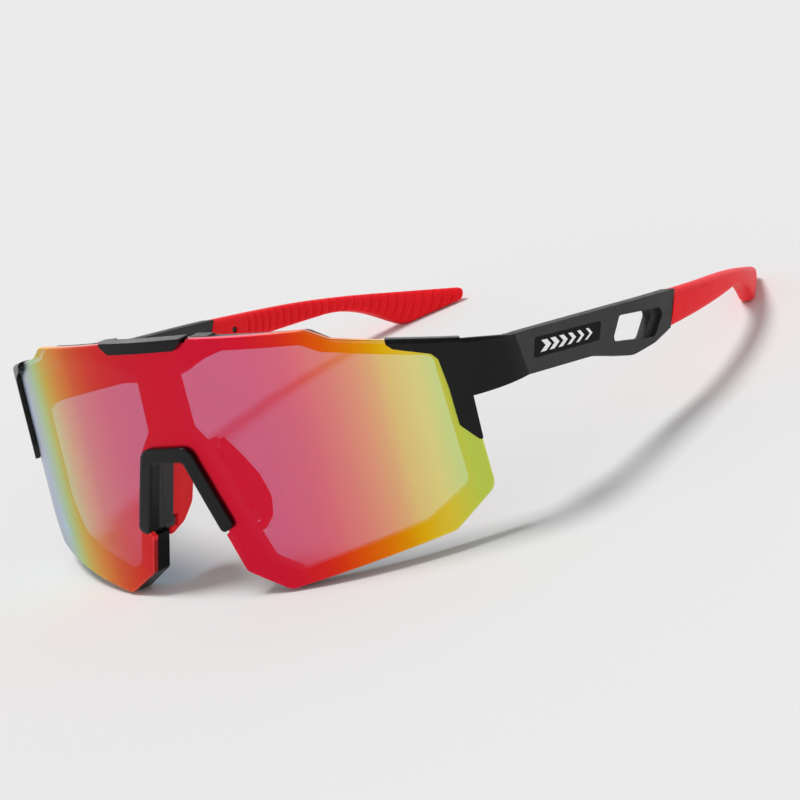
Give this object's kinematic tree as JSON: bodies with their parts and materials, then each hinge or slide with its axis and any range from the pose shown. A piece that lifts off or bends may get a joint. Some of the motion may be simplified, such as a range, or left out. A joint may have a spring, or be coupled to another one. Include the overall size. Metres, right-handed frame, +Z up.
{
  "type": "wraparound sport sunglasses",
  "caption": "Wraparound sport sunglasses with a one-piece mirrored shield lens, moulded rim, folding temples with rubber tips and swivelling nose pads.",
  "frame": {"origin": "centre of the footprint on the table that the open glasses stand on, at table height", "axes": "+X to the wearer's left and square to the symmetry plane, +Y from the lens back to the temple tips, +Z up from the table"},
  "size_m": [0.1526, 0.1674, 0.0623],
  "materials": {
    "lens_mirror": "polished, mirror coated polycarbonate",
    "frame_black": "semi-gloss moulded nylon",
    "carrier_grey": "satin moulded nylon",
    "temple_grey": "matte moulded nylon",
    "rubber_red": "soft matte rubber",
    "badge_black": "printed inlay",
    "steel": "bright",
    "brass": "turned"
  },
  "bodies": {
    "front": {"lens_shield": "lens_mirror", "frame_front": "frame_black", "nose_clip": "frame_black", "nose_carrier": "carrier_grey", "hinge_screw_left": "steel", "hinge_screw_right": "steel", "hinge_insert_left": "brass", "hinge_insert_right": "brass"},
    "temple_left": {"temple_left": "temple_grey", "temple_sleeve_left": "rubber_red", "tip_wire_left": "steel", "temple_badge_left": "badge_black"},
    "temple_right": {"temple_right": "temple_grey", "temple_sleeve_right": "rubber_red", "tip_wire_right": "steel", "temple_badge_right": "badge_black"},
    "nose_pad_left": {"nose_pad_left": "rubber_red", "nose_pad_wire_left": "steel"},
    "nose_pad_right": {"nose_pad_right": "rubber_red", "nose_pad_wire_right": "steel"}
  },
  "joints": [
    {"name": "temple_fold_left", "type": "hinge", "parent": "front", "child": "temple_left", "pos_m": [0.0702, -0.03916, 0.03695], "axis": [0, 0.3147, 0.9492], "range_deg": [0, 83]},
    {"name": "temple_fold_right", "type": "hinge", "parent": "front", "child": "temple_right", "pos_m": [-0.0702, -0.03916, 0.03695], "axis": [0, -0.3147, -0.9492], "range_deg": [0, 74]},
    {"name": "nose_pad_swivel_left", "type": "hinge", "parent": "front", "child": "nose_pad_left", "pos_m": [0.0069, -0.07154, 0.03277], "axis": [-0.3551, 0.1356, 0.9249], "range_deg": [-12, 12]},
    {"name": "nose_pad_swivel_right", "type": "hinge", "parent": "front", "child": "nose_pad_right", "pos_m": [-0.0069, -0.07154, 0.03277], "axis": [-0.3551, -0.1356, -0.9249], "range_deg": [-12, 12]}
  ]
}
